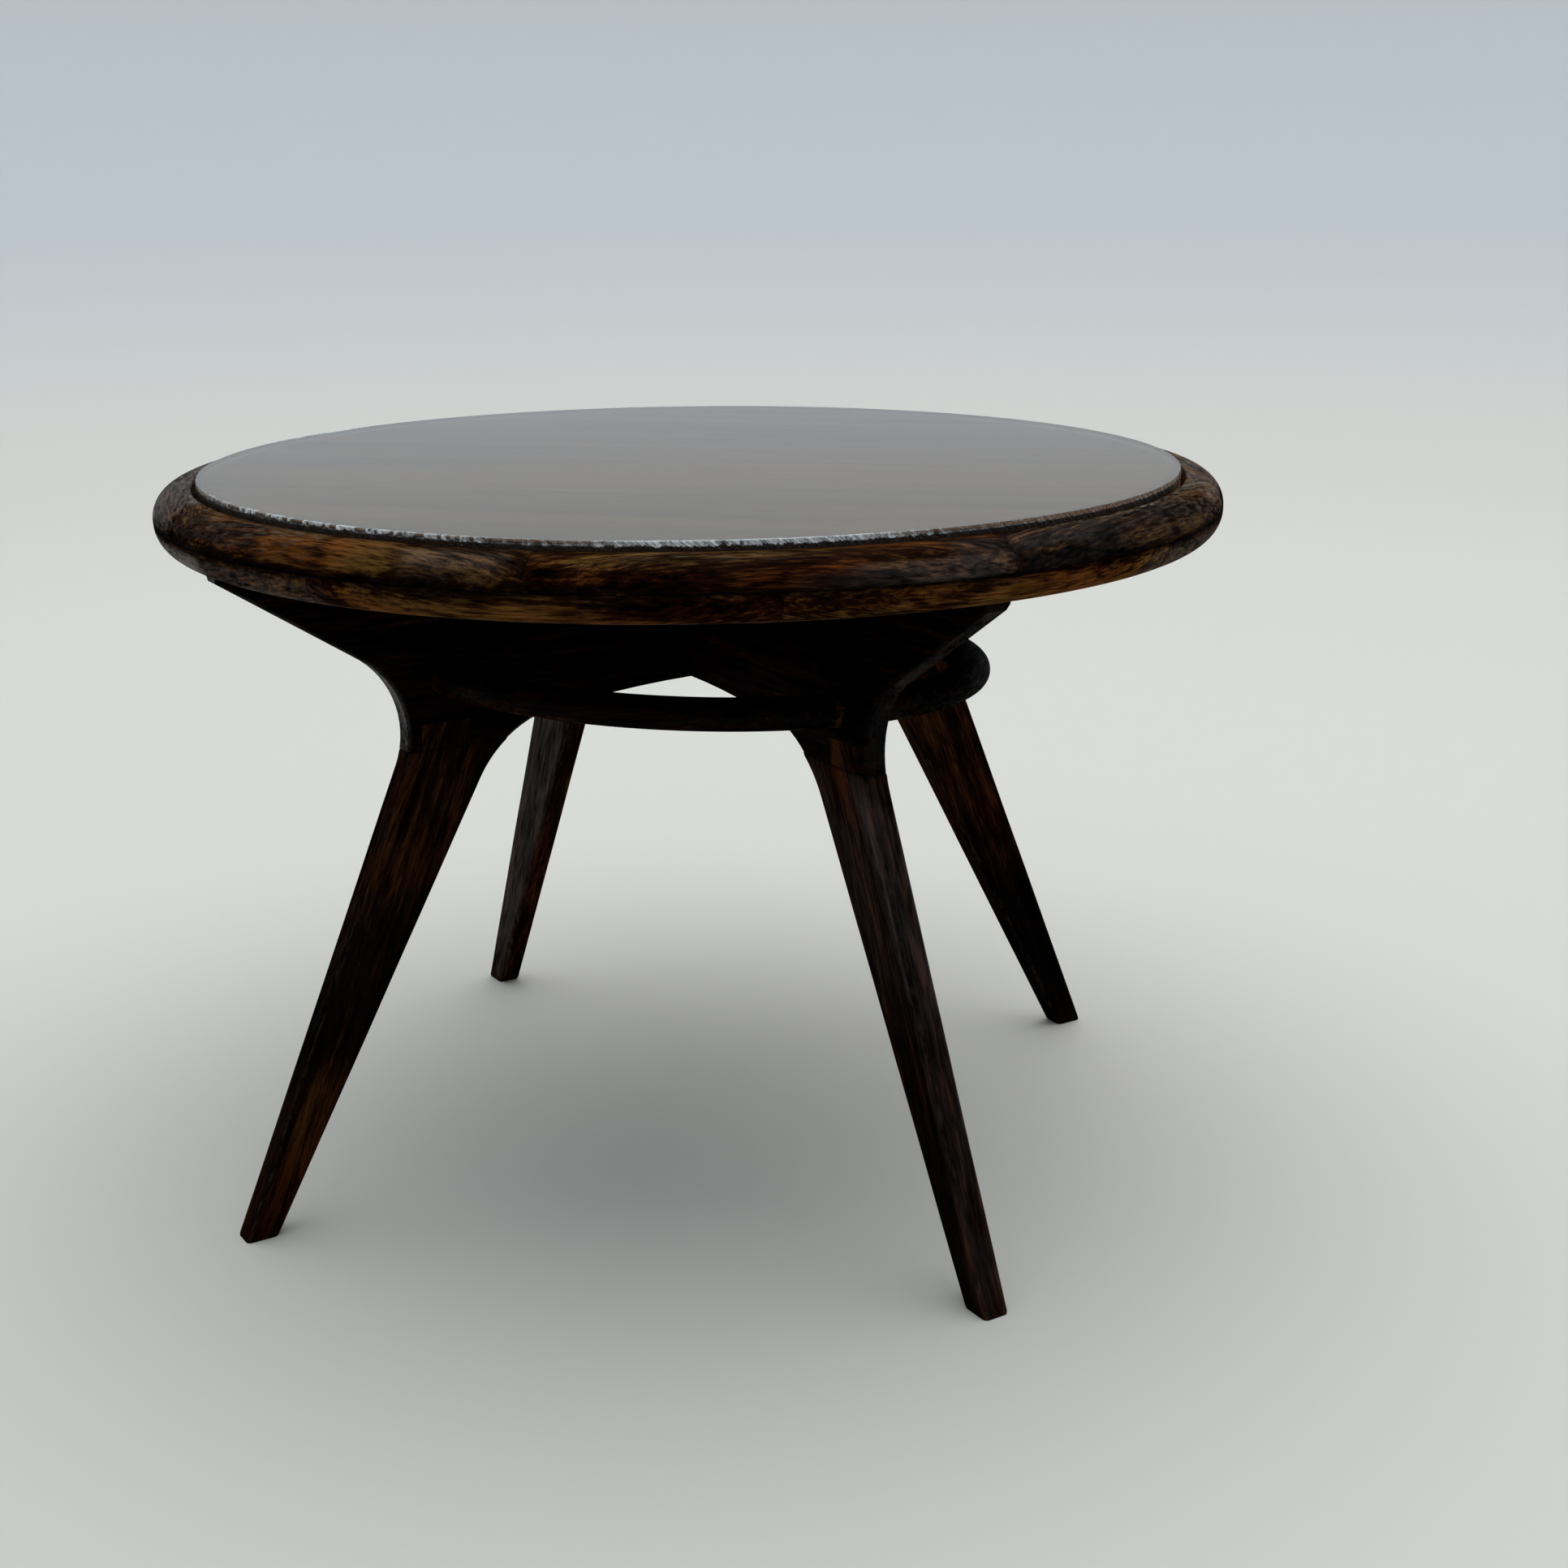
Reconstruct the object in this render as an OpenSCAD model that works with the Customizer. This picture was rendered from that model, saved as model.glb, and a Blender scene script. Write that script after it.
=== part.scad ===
// Miniature round table: a segmented rim round a panel with a loose clear disc on top,
// carried by two half-lapped cross rails, four housed legs and a ring stretcher.
// Millimetres, +Z up, origin on the floor under the middle of the top, legs on the diagonals.

/* [Top] */
// Outer diameter of the rim
top_d = 89; // [80:0.5:120]
// Floor to the top of the rim
table_h = 60; // [50:0.5:80]
// Thickness of each of the two rim layers, and of the panel
rim_layer_t = 2.4; // [1.6:0.1:3]
// Width of the rim from the recess to its outer edge
rim_w = 3.2; // [2.6:0.1:6]
// Thickness of the clear disc
disc_t = 3; // [2:0.1:4]
// Room all round the clear disc in its recess
disc_gap = 0.3; // [0.1:0.05:0.8]
// Chamfer on the edges of the clear disc
disc_chamfer = 0.2; // [0.05:0.05:0.4]

/* [Ring stretcher] */
// Outer diameter of the ring
ring_d = 51.2; // [44:0.1:64]
// Width of the ring from its inner to its outer edge
ring_w = 2.8; // [2:0.1:4]
// Thickness of the ring, rounded over on its outer edge
ring_t = 2.4; // [1.6:0.1:3]
// Underside of the top down to the top of the ring, on the axis
ring_drop = 10.3; // [8:0.1:11]
// Degrees that the ring hangs out of level, low towards the back right leg
ring_tilt = 2.9; // [0:0.1:3]

/* [Rails] */
// Thickness of the stock for the rails and legs
stock_t = 2.3; // [1.6:0.1:3.2]
// Depth of the board that each rail is sawn from
rail_board = 16; // [14.5:0.1:20]
// Depth of the rail at the crown of its arched underside
rail_crown = 13.1; // [12:0.1:14]
// Radius of the arched underside
arch_r = 100; // [80:1:140]
// Rim's edge back to the end of each arm
arm_setback = 2.2; // [1:0.1:6]
// Height of an arm's blunt end
arm_end_h = 0.6; // [0.4:0.1:2]

/* [Legs] */
// Diameter of the circle through the outer edges of the feet
foot_d = 88.2; // [72:0.1:110]
// Width of a leg at the floor
foot_w = 2.8; // [1.6:0.1:4]
// Width of a leg at its shoulder
leg_w = 7.9; // [6.4:0.1:9]
// Underside of the top down to the corner where arm and leg meet, before its fillet
knee_drop = 11.6; // [10:0.1:13]
// How far that corner lies inside the ring's outer edge
knee_inset = 0.05; // [0:0.05:2]
// Radius of the outer fillet between arm and leg
knee_fillet = 7.7; // [6:0.1:10]
// Radius of the inner fillet between leg and rail
crotch_fillet = 10; // [6:0.1:12]
// Width of the tongue that the leg has in the rail
tongue_w = 4.2; // [3:0.1:4.4]
// Height of that tongue
tongue_h = 2.1; // [1:0.1:3]
// Width of rail left outside the tongue, at the narrowest place between arm and leg
outer_shoulder = 1.1; // [0.5:0.05:1.5]

/* [Finish] */
// Chamfer that softens the arrises of rails and legs
arris = 0.35; // [0.1:0.05:0.6]
// Thickness of a glue line between pieces
glue_line = 0.04; // [0.02:0.01:0.1]

/* [Hidden] */
$fn = 120;
// Segments in each rim layer, with the lower layer's joints half a segment round
segments = 8;
segment_angle = 360 / segments;
rim_r = top_d / 2;
recess_r = rim_r - rim_w;
joint_angle = glue_line / rim_r * 180 / PI;
seam_z = table_h - rim_layer_t;
under_z = seam_z - rim_layer_t;
ring_top_z = under_z - ring_drop;
shoulder_z = under_z - rail_board;
crown_z = under_z - rail_crown;
lap_z = (under_z + crown_z) / 2;
// Room past a solid that a cut needs to come out clean
past = 1;
// How much deeper a round cut is than the straight cut that it runs on from, and a round chamfer
blend = 0.004;
chamfer_blend = 0.032;
// Reach of the tools that cut the chamfers
cutter = 3 * arris;
// Facets of the wide arch, which keep it as smooth as the small fillets
arch_fn = 480;

// Points of one leg and arm, as distance from the axis and height
function unit(v) = v / norm(v);
function at_height(a, b, z) = a + (b - a) * (z - a[1]) / (b[1] - a[1]);
toe = [foot_d / 2, 0];
heel = toe - [foot_w, 0];
knee = [ring_d / 2 - knee_inset, under_z - knee_drop];
arm_end = [rim_r - arm_setback, under_z - arm_end_h];
shoulder_in = at_height(knee, toe, shoulder_z) - [leg_w, 0];

// Outer fillet: tangent to the arm's underside and to the leg's outer face
arm_dir = unit(arm_end - knee);
leg_dir = unit(toe - knee);
knee_half = acos(arm_dir * leg_dir) / 2;
knee_centre = knee + unit(arm_dir + leg_dir) * knee_fillet / sin(knee_half);
knee_on_arm = knee + arm_dir * knee_fillet / tan(knee_half);
knee_on_leg = knee + leg_dir * knee_fillet / tan(knee_half);
tongue_in = [knee_centre[0] - knee_fillet - outer_shoulder - tongue_w, shoulder_z];

// Inner fillet: tangent to the leg's inner face and inside the rail's arch
arch_centre = [0, crown_z - arch_r];
inner_dir = unit(shoulder_in - heel);
inner_normal = [-inner_dir[1], inner_dir[0]];
function reach(from, radius) =
    let (q = from - arch_centre)
    -q * inner_dir + sqrt((q * inner_dir) ^ 2 - q * q + radius ^ 2);
crotch = heel + inner_dir * reach(heel, arch_r);
crotch_start = heel + inner_normal * crotch_fillet;
crotch_centre = crotch_start + inner_dir * reach(crotch_start, arch_r - crotch_fillet);
crotch_on_leg = crotch_centre - inner_normal * crotch_fillet;
crotch_on_arch = arch_centre + (crotch_centre - arch_centre) * arch_r / (arch_r - crotch_fillet);
// Twice as far from the centre of the inner fillet, which is outside the outline
function beyond(p) = 2 * p - crotch_centre;

// Turns about the axis: the legs from the front right, the two rails, the ring from the front
LEG_TURN = [-45, 45, 135, 225];
UNDER_TURN = 45;
OVER_TURN = 135;
RING_TURN = [-90, 0, 90, 180];

// Stain of each kind of piece
RIM_COLOR = [0.33, 0.2, 0.11];
PANEL_COLOR = [0.12, 0.07, 0.05];
RAIL_COLOR = [0.16, 0.09, 0.06];
LEG_COLOR = [0.2, 0.11, 0.07];
CLEAR_COLOR = [0.8, 0.85, 0.87, 0.4];

// The space between two opposite legs, under the arch, on one side of the axis
module opening_half() {
    difference() {
        intersection() {
            translate(arch_centre) circle(arch_r, $fn = arch_fn);
            polygon([[-past, -past], heel - inner_dir * past, crotch + inner_dir * past, [-past, under_z]]);
        }
        polygon([crotch_centre, beyond(crotch_on_arch), beyond(crotch), beyond(crotch_on_leg)]);
    }
    translate(crotch_centre) circle(crotch_fillet + blend);
}

// Outline of rail, arm and leg together, on one side of the axis
module frame_half() {
    difference() {
        polygon([
            [0, under_z], [arm_end[0], under_z], arm_end,
            knee_on_arm, knee_centre, knee_on_leg, toe, [0, 0]
        ]);
        translate(knee_centre) circle(knee_fillet + blend);
        opening_half();
    }
}

// The leg's tongue, or with room all round it the rail's notch for it
module tongue(room) {
    translate(tongue_in - [room, past]) square([tongue_w + 2 * room, past + tongue_h + room]);
}

module above_shoulder() {
    translate([-rim_r, shoulder_z]) square([2 * rim_r, rail_board]);
}

// A bar that cuts a chamfer on the edge from a to b, with the solid on the right of the way there
module edge_bar(a, b) {
    way = b - a;
    translate(a)
        rotate(atan2(way[1], way[0]))
            rotate([45, 0, 0])
                translate([0, -arris / sqrt(2), -arris])
                    cube([norm(way), 2 * arris, 2 * arris]);
}

// A cone that cuts a chamfer along a round edge
module edge_cone(radius) {
    tip = radius - arris + chamfer_blend;
    translate([0, 0, -2 * arris]) cylinder(h = cutter, r1 = tip, r2 = tip + cutter);
}

// What comes off the arrises on one side of the axis, at both faces of the stock
module soft_arrises() {
    for (face = [0, 1]) mirror([0, 0, face]) translate([0, 0, stock_t / 2]) {
        edge_bar(arm_end + arm_dir * past, knee_on_arm);
        edge_bar(knee_on_leg, toe + leg_dir * past);
        edge_bar(heel - inner_dir * past, crotch_on_leg);
        translate(knee_centre) edge_cone(knee_fillet);
        translate(crotch_centre) edge_cone(crotch_fillet);
    }
}

module both_sides() {
    for (side = [0, 1]) mirror([side, 0, 0]) children();
}

// One rail flat on its side, with its arms and the notches for two legs
module rail_blank() {
    difference() {
        linear_extrude(stock_t, center = true) difference() {
            both_sides() intersection() {
                frame_half();
                above_shoulder();
            }
            both_sides() tongue(glue_line);
        }
        both_sides() soft_arrises();
    }
}

// Rail stood up along a diagonal, with its half of the lap cut from the top or from below
module rail(turn, cut_z, cut_h) {
    lap_w = stock_t + 2 * glue_line;
    color(RAIL_COLOR) rotate(turn) difference() {
        rotate([90, 0, 0]) rail_blank();
        translate([-lap_w / 2, -stock_t, cut_z]) cube([lap_w, 2 * stock_t, cut_h]);
    }
}

module cross_rail_under() {
    rail(UNDER_TURN, lap_z, under_z - lap_z + past);
}

module cross_rail_over() {
    rail(OVER_TURN, crown_z - past, lap_z - crown_z + past);
}

// Leg: tapered to the foot, with its tongue in the rail's notch
module leg(turn) {
    color(LEG_COLOR) rotate(turn) rotate([90, 0, 0]) difference() {
        linear_extrude(stock_t, center = true) difference() {
            frame_half();
            difference() {
                above_shoulder();
                tongue(0);
            }
        }
        soft_arrises();
    }
}

// One segment of a rim layer, rounded over from the seam outwards
module rim_segment(start, up) {
    color(RIM_COLOR)
        translate([0, 0, seam_z]) mirror([0, 0, up ? 0 : 1])
            rotate(start + joint_angle / 2)
                rotate_extrude(angle = segment_angle - joint_angle) {
                    translate([recess_r, 0]) square([rim_w - rim_layer_t, rim_layer_t]);
                    translate([rim_r - rim_layer_t, 0]) intersection() {
                        circle(rim_layer_t);
                        square(rim_layer_t);
                    }
                }
}

module rim_upper(i) {
    rim_segment(LEG_TURN[0] + (i - 1) * segment_angle, true);
}

module rim_lower(i) {
    rim_segment(LEG_TURN[0] + (i - 0.5) * segment_angle, false);
}

// Panel inside the lower layer of the rim: the disc lies on it and the rails are glued under it
module top_panel() {
    color(PANEL_COLOR)
        translate([0, 0, under_z]) cylinder(h = rim_layer_t, r = recess_r - glue_line);
}

// Clear disc, loose in the recess and standing a little proud of the rim
module clear_top() {
    disc_r = recess_r - disc_gap;
    color(CLEAR_COLOR) translate([0, 0, seam_z]) rotate_extrude() polygon([
        [0, 0], [disc_r - disc_chamfer, 0], [disc_r, disc_chamfer],
        [disc_r, disc_t - disc_chamfer], [disc_r - disc_chamfer, disc_t], [0, disc_t]
    ]);
}

// A quarter of the ring stretcher, cut to butt on the faces of two rails
module ring_arc(turn) {
    ring_r = ring_d / 2;
    rail_face = stock_t / 2 + glue_line;
    hinge = [cos(OVER_TURN), sin(OVER_TURN), 0];
    color(RAIL_COLOR) intersection() {
        translate([0, 0, ring_top_z - ring_t / 2]) rotate(ring_tilt, hinge) rotate_extrude() {
            translate([ring_r - ring_w, -ring_t / 2]) square([ring_w - ring_t / 2, ring_t]);
            translate([ring_r - ring_t / 2, 0]) intersection() {
                circle(ring_t / 2);
                translate([0, -ring_t / 2]) square([ring_t / 2, ring_t]);
            }
        }
        rotate(turn + LEG_TURN[0]) translate([rail_face, rail_face, 0]) cube([ring_r, ring_r, table_h]);
    }
}

top_panel();
clear_top();
for (i = [1 : segments]) {
    rim_upper(i);
    rim_lower(i);
}
cross_rail_under();
cross_rail_over();
leg(LEG_TURN[0]);  // leg_front_right
leg(LEG_TURN[1]);  // leg_back_right
leg(LEG_TURN[2]);  // leg_back_left
leg(LEG_TURN[3]);  // leg_front_left
ring_arc(RING_TURN[0]);  // ring_front
ring_arc(RING_TURN[1]);  // ring_right
ring_arc(RING_TURN[2]);  // ring_back
ring_arc(RING_TURN[3]);  // ring_left
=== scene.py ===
"""Looks of a miniature round table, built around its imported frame.

The file is laid out as an add-on and run as a script: each operator makes one group of pieces.
"""
import math

import bpy
import numpy as np
from bpy.props import FloatProperty, FloatVectorProperty, PointerProperty
from mathutils import Matrix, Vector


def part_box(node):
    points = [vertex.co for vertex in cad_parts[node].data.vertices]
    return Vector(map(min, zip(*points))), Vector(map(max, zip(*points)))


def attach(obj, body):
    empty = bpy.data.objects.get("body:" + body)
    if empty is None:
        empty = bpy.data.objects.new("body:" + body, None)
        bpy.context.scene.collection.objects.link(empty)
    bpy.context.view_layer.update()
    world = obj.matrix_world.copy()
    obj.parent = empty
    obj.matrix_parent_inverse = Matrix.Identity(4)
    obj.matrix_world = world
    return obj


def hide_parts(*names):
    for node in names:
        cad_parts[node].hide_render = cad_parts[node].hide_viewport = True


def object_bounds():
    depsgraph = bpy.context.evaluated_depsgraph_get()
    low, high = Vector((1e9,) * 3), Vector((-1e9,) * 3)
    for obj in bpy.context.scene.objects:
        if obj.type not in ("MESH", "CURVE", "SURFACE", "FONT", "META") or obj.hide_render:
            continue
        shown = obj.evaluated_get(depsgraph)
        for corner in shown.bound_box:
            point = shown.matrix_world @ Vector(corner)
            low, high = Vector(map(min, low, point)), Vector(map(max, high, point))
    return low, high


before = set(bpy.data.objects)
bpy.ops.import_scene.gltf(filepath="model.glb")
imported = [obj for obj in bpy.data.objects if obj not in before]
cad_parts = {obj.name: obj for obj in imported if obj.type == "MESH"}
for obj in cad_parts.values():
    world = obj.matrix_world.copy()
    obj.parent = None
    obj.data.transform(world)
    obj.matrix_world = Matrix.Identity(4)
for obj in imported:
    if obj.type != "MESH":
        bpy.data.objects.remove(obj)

bl_info = {
    "name": "Miniature Round Table",
    "version": (1, 0, 0),
    "blender": (4, 5, 0),
    "location": "3D View > Sidebar > Table",
    "description": "Makes the wood, the clear disc and the stage of a miniature round table",
    "category": "Add Mesh",
}

MM = 0.001
CAD_BOX = [list(corner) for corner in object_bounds()]

SEGMENTS = 8
FIRST_JOINT = math.radians(-45)
LEG_TURNS = {
    "front_right": math.radians(-45), "back_right": math.radians(45),
    "back_left": math.radians(135), "front_left": math.radians(225),
}
RING_TURNS = {
    "front": math.radians(-90), "right": 0.0, "back": math.radians(90), "left": math.radians(180),
}
# Degrees from and to of the rim's front, with a soft end; there the recess gets full painted shade
RIM_FRONT = (-142, -30, 14)
# Seeds of the wander of each rim layer, and first seeds of the pieces
RIM_WAVE_SEEDS = {"upper": 11, "lower": 12}
RIM_SEED, LEG_SEED, RING_SEED, SAW_SEED, TONE_SEED = 100, 300, 400, 7, 21
# Most lift of a rim segment's tone either way
TONE_SPREAD = 0.05
# Radius of hidden arrises, least flat between two round ones, and radius below which one wears
HIDDEN_ROUND, LEAST_FLAT, WORN_ROUND = 0.05 * MM, 0.01 * MM, 0.6 * MM
# Radii of the ring's inner arrises and of a tongue's, and how far the ring strays from true
RING_ROUND, TONGUE_ROUND, RING_WAVE = 0.25 * MM, 0.06 * MM, 0.06 * MM
# How far a section closes in at its ends, and over which length on the rim and on a leg
END_CLOSE, RIM_END, LEG_END = 0.05 * MM, 0.24 * MM, 0.2 * MM
# Distance below which two points of an outline are one
SAME_PLACE = 1e-8
# Share of the glue line that stays open, and how far the disc's underside lies in the panel
OPEN_SHARE, DISC_SINK = 0.1, 0.02 * MM
# How far points draw together at a rim segment's ends, and radians of wander along a leg
END_BUNCH, LEG_WANDER = 0.14, 2.6
# Fade lengths: grime with painted shade at the rim's seam, painted shade in its recess, joint grime
SEAM_DIRT_AND_SHADE = {"upper": 0.6 * MM, "lower": 0.3 * MM}
RECESS_SHADE, RIM_DIRT, LEG_DIRT, RING_DIRT = 0.3 * MM, 0.1 * MM, 0.12 * MM, 0.2 * MM
# Width of the recess ledge, grey with wear and painted sheen off the front, and of its soft end
LEDGE_WIDTH, LEDGE_SOFT = 1.1 * MM, 0.3 * MM
# Soft ends of a patch: degrees and height on the rim, and height, width and thickness on a leg
RIM_SOFT, LEG_SOFT = (2.0, 0.2), (0.06, 0.06, 0.1)
# Degrees from and to, with a soft end, of what shows on the edge of the disc
EDGE_TORN, EDGE_DASHED, EDGE_THIN = (-88, -48, 8), (-152, -82, 24), (-165, -90, 12)
# The shaded ranges place painted shade low on the disc's edge
EDGE_SHADED, EDGE_DEEP_SHADE = (-165, 5, 14), (-150, -36, 14)
# Frosted lines below the disc's face, and their soft end
FROST_LINES, FROST_SOFT = (0.03 * MM, 0.3 * MM), 0.04 * MM
# Millimetres below the disc's face at which its edge has a ring of points
EDGE_DEPTHS = (0, 0.04, 0.09, 0.15, 0.21, 0.27, 0.33, 0.39, 0.45, 0.52, 0.62, 1.2, 2.8)
# Noises in the wood: waves to the millimetre along the grain and across it twice, then detail,
# roughness and bend
WOOD_NOISE = {
    "streak": ((0.06, 1.2, 1.2), 4.0, 0.6, 0.3),
    "fibre": ((0.4, 4.0, 4.0), 4.0, 0.62),
    "pore": ((0.8, 9.0, 9.0), 2.0, 0.5),
    "blot": ((0.09, 0.3, 0.3), 3.0, 0.6, 0.4),
    "red": ((0.05, 0.14, 0.14), 2.0, 0.5),
    "mottle": ((0.1, 0.5, 0.5), 3.0, 0.55, 0.3),
    "fray": ((0.8, 2.8, 2.8), 4.0, 0.65),
}
# Places of the dark, middle and light tint in the figure of the wood, and tint of its red places
WOOD_STOPS, RED_TINT = (0.25, 0.5, 0.78), (1.0, 0.58, 0.42)
# Heights from floor to wall and from wall to upper wall, and depths from near wall to far wall
FLOOR_TO_WALL, WALL_TO_UPPER, NEAR_TO_FAR = (-0.03, 0.075), (0.12, 0.16), (-0.4, 0.1)
LAMP_PLACE = (0.03, 0.12, 0.72)
LAMP_TURN = (math.radians(-10), math.radians(3), 0)
# Turn of each rail and satin on its narrow faces
RAILS = {"cross_rail_under": (math.radians(45), 0.5), "cross_rail_over": (math.radians(135), 0.1)}

# Places on each layer of the rim where the stain is thin or thick; in front some are also painted
# shade towards the seam and painted floor light low on the lower layer. Columns: degrees from and
# to, shares of the layer's height from the seam, lift of the tone, share of satin, of worn flecks
# that also paint a sheen, and of red
RIM_PATCHES = {"upper": (
    (-180, -139, 0.1, 1, 0.04, 0.37, 0.25, 0),
    (-142, -120, 0.3, 0.8, -0.01, 0.08, 0.15, 0),
    (-142, -112, 0.8, 1, 0.08, 0, 0.3, 0),
    (-121, -111, 0.1, 1, 0.16, 0, 0.1, 0),
    (-112, -102.5, 0.1, 0.95, 0.26, 0, 0, 0),
    (-103, -91, 0.15, 0.9, 0.1, 0.25, 0.05, 0),
    (-91, -77, 0.6, 0.95, 0.11, 0, 0, 0),
    (-90, -71, 0, 0.6, -0.12, 0, 0, 0.9),
    (-72, -58, 0, 0.75, -0.03, 0, 0, 1),
    (-82, -66, 0.8, 1, 0.09, 0, 0.2, 0),
    (-67, -44.5, 0, 0.35, 0, 0.3, 0, 0),
    (-62, -44.5, 0, 0.5, 0, 0.5, 0.05, 0),
    (-57, -44.5, 0, 0.45, 0.02, 0.8, 0.05, 0),
    (-52, -44.5, 0.5, 0.9, -0.06, 0.1, 0.1, 0),
    (-45.5, -30, 0, 0.4, -0.1, 0.2, 0, 0),
    (-45.5, -30, 0.35, 0.95, -0.05, 0.16, 0.05, 0),
    (-32, -20, 0.1, 1, 0.03, 0.08, 0.2, 0),
    (-21, 0, 0.1, 1, 0.1, 0.05, 0.25, 0),
    (-8, 25, 0.5, 1, 0.08, 0.25, 0.4, 0),
), "lower": (
    (-180, -110, 0.1, 1, 0.05, 0.12, 0.2, 0),
    (-180, -130, 0.1, 1, 0.04, 0.3, 0.2, 0),
    (-110, -100, 0.1, 0.3, 0.1, 0, 0, 0),
    (-110, -86, 0.3, 1, 0.14, 0, 0, 0),
    (-84, -57, 0, 0.6, -0.09, 0, 0, 0.5),
    (-60, -50, 0.15, 1, 0.03, 0, 0, 0),
    (-50, -26, 0.15, 1, 0.14, 0, 0, 0),
    (-28, 0, 0.1, 1, 0.05, 0.08, 0.25, 0),
    (-125, -60, 0.85, 1, 0.06, 0, 0.5, 0),
)}
# The same on the legs: shares of the height, of the width from the inner edge and of the half
# thickness, each from and to, then lift of the tone and share of satin
LEG_PATCHES = {"front_right": (
    (0.94, 1.05, 0.53, 0.58, -1.5, -0.5, 0.7, 0),
    (0.55, 0.97, 0.86, 1.2, -1.5, 1.5, 0.04, 0.7),
    (0, 0.55, 0.86, 1.2, -1.5, 1.5, 0, 0.3),
    (0.6, 0.97, 0, 0.8, -1.5, -0.5, 0.04, 0.1),
    (0, 0.6, 0, 0.8, -1.5, -0.5, -0.1, 0.05),
), "back_right": (
    (0.62, 1.1, -0.2, 1.2, -1.5, 1.5, 0.12, 0),
    (0, 0.45, -0.2, 1.2, -1.5, 1.5, -0.25, 0),
), "back_left": (
    (0, 1.1, -0.2, 1.2, 0.75, 1.5, 0, 0.22),
    (0, 1.1, -0.2, 0.12, -1.5, 1.5, 0.02, 0),
), "front_left": (
    (0.68, 0.93, 0.1, 0.7, -1.5, 1.5, 0.06, 0),
    (0.85, 1, -0.2, 0.25, -1.5, 1.5, -0.12, 0),
    (0.37, 0.66, -0.2, 1.2, -1.5, 1.5, -0.15, 0.03),
    (0, 0.36, 0.1, 0.8, -1.5, 1.5, 0.19, 0),
)}


def low(node, axis):
    """Lowest place of a frame node along an axis, in metres."""
    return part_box(node)[0][axis]


def high(node, axis):
    """Highest place of a frame node along an axis, in metres."""
    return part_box(node)[1][axis]


def shade(name, description, default):
    """A linear colour."""
    return FloatVectorProperty(
        name=name, description=description, default=default, size=3, min=0, max=1, subtype="COLOR"
    )


def amount(name, description, default, **kind):
    """A plain number, unless a kind is given."""
    return FloatProperty(name=name, description=description, default=default, **kind)


def length(name, description, default):
    """A size in metres."""
    return amount(name, description, default, unit="LENGTH", precision=5)


def bearing(name, description, default):
    """An angle in radians."""
    return amount(name, description, default, unit="ROTATION")


class TableSizes(bpy.types.PropertyGroup):
    """Sizes of the pieces that are made here; rim radius, seam and disc come from the frame."""

    rim_radius: length("Rim radius", "Axis to the outer edge of the rim", CAD_BOX[1][0])
    rim_width: length("Rim width", "Recess to the outer edge of the rim", 3.2 * MM)
    layer: length("Rim layer", "Thickness of one rim layer", 2.4 * MM)
    seam: length("Seam height", "Floor to the seam of the rim", low("rim_upper_1", 2))
    glue_line: length("Glue line", "Gap at a glued joint", 0.04 * MM)
    seam_round: length("Seam rounding", "Radius of the arris at the seam", 0.1 * MM)
    ledge_round: length("Ledge rounding", "Radius of the arris at the recess", 0.24 * MM)
    rim_wave: length("Rim wave", "How far hand sanding strays from a true round", 0.07 * MM)
    disc_radius: length("Disc radius", "Axis to the edge of the clear disc", high("clear_top", 0))
    disc_low: length("Disc underside", "Floor to the underside of the disc", low("clear_top", 2))
    disc_high: length("Disc face", "Floor to the face of the disc", high("clear_top", 2))
    saw_depth: length("Saw marks", "Depth of the saw's teeth marks in the disc's edge", 0.22 * MM)
    chip_depth: length("Chips", "Depth of the chips along the disc's upper edge", 0.3 * MM)
    ring_radius: length("Ring radius", "Axis to the outer edge of the ring", 25.6 * MM)
    ring_width: length("Ring width", "Inner to outer edge of the ring", 2.8 * MM)
    ring_thickness: length("Ring thickness", "Underside to top of the ring", 2.4 * MM)
    ring_height: length("Ring height", "Floor to the middle of the ring", 43.7 * MM)
    ring_dip: amount(
        "Ring dip", "Fall of the ring towards the back right leg", math.tan(math.radians(2.9))
    )
    stock: length("Stock", "Thickness of the legs and rails", 2.3 * MM)
    toe: length("Toe", "Axis to the outer edge of a foot", 44.1 * MM)
    foot_width: length("Foot width", "Width of a leg at the floor", 2.8 * MM)
    leg_width: length("Leg width", "Width of a leg at its shoulder", 7.9 * MM)
    shoulder: length("Shoulder", "Floor to the leg's shoulder", 39.2 * MM)
    knee_out: length("Knee reach", "Axis to the corner of arm and leg", 25.55 * MM)
    knee_high: length("Knee height", "Floor to the corner of arm and leg", 43.6 * MM)
    arm_out: length("Arm reach", "Axis to the end of an arm", 42.3 * MM)
    arm_high: length("Arm height", "Floor to the lower corner of an arm's end", 54.6 * MM)
    knee_fillet: length("Knee fillet", "Radius between arm and leg", 7.7 * MM)
    crotch_fillet: length("Crotch fillet", "Radius between leg and rail", 10 * MM)
    crown: length("Crown", "Floor to the crown of the rail's arch", 42.1 * MM)
    arch_radius: length("Arch radius", "Radius of the rail's arched underside", 100 * MM)
    tongue_width: length("Tongue width", "Width of the leg's tongue", 4.2 * MM)
    tongue_height: length("Tongue height", "Height of the leg's tongue", 2.1 * MM)
    outer_shoulder: length("Outer shoulder", "Rail left outside the tongue", 1.1 * MM)
    leg_round: length("Leg rounding", "Radius of the leg's arrises", 0.45 * MM)
    leg_wave: length("Leg wave", "How far hand shaping strays from a true leg", 0.05 * MM)


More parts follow.
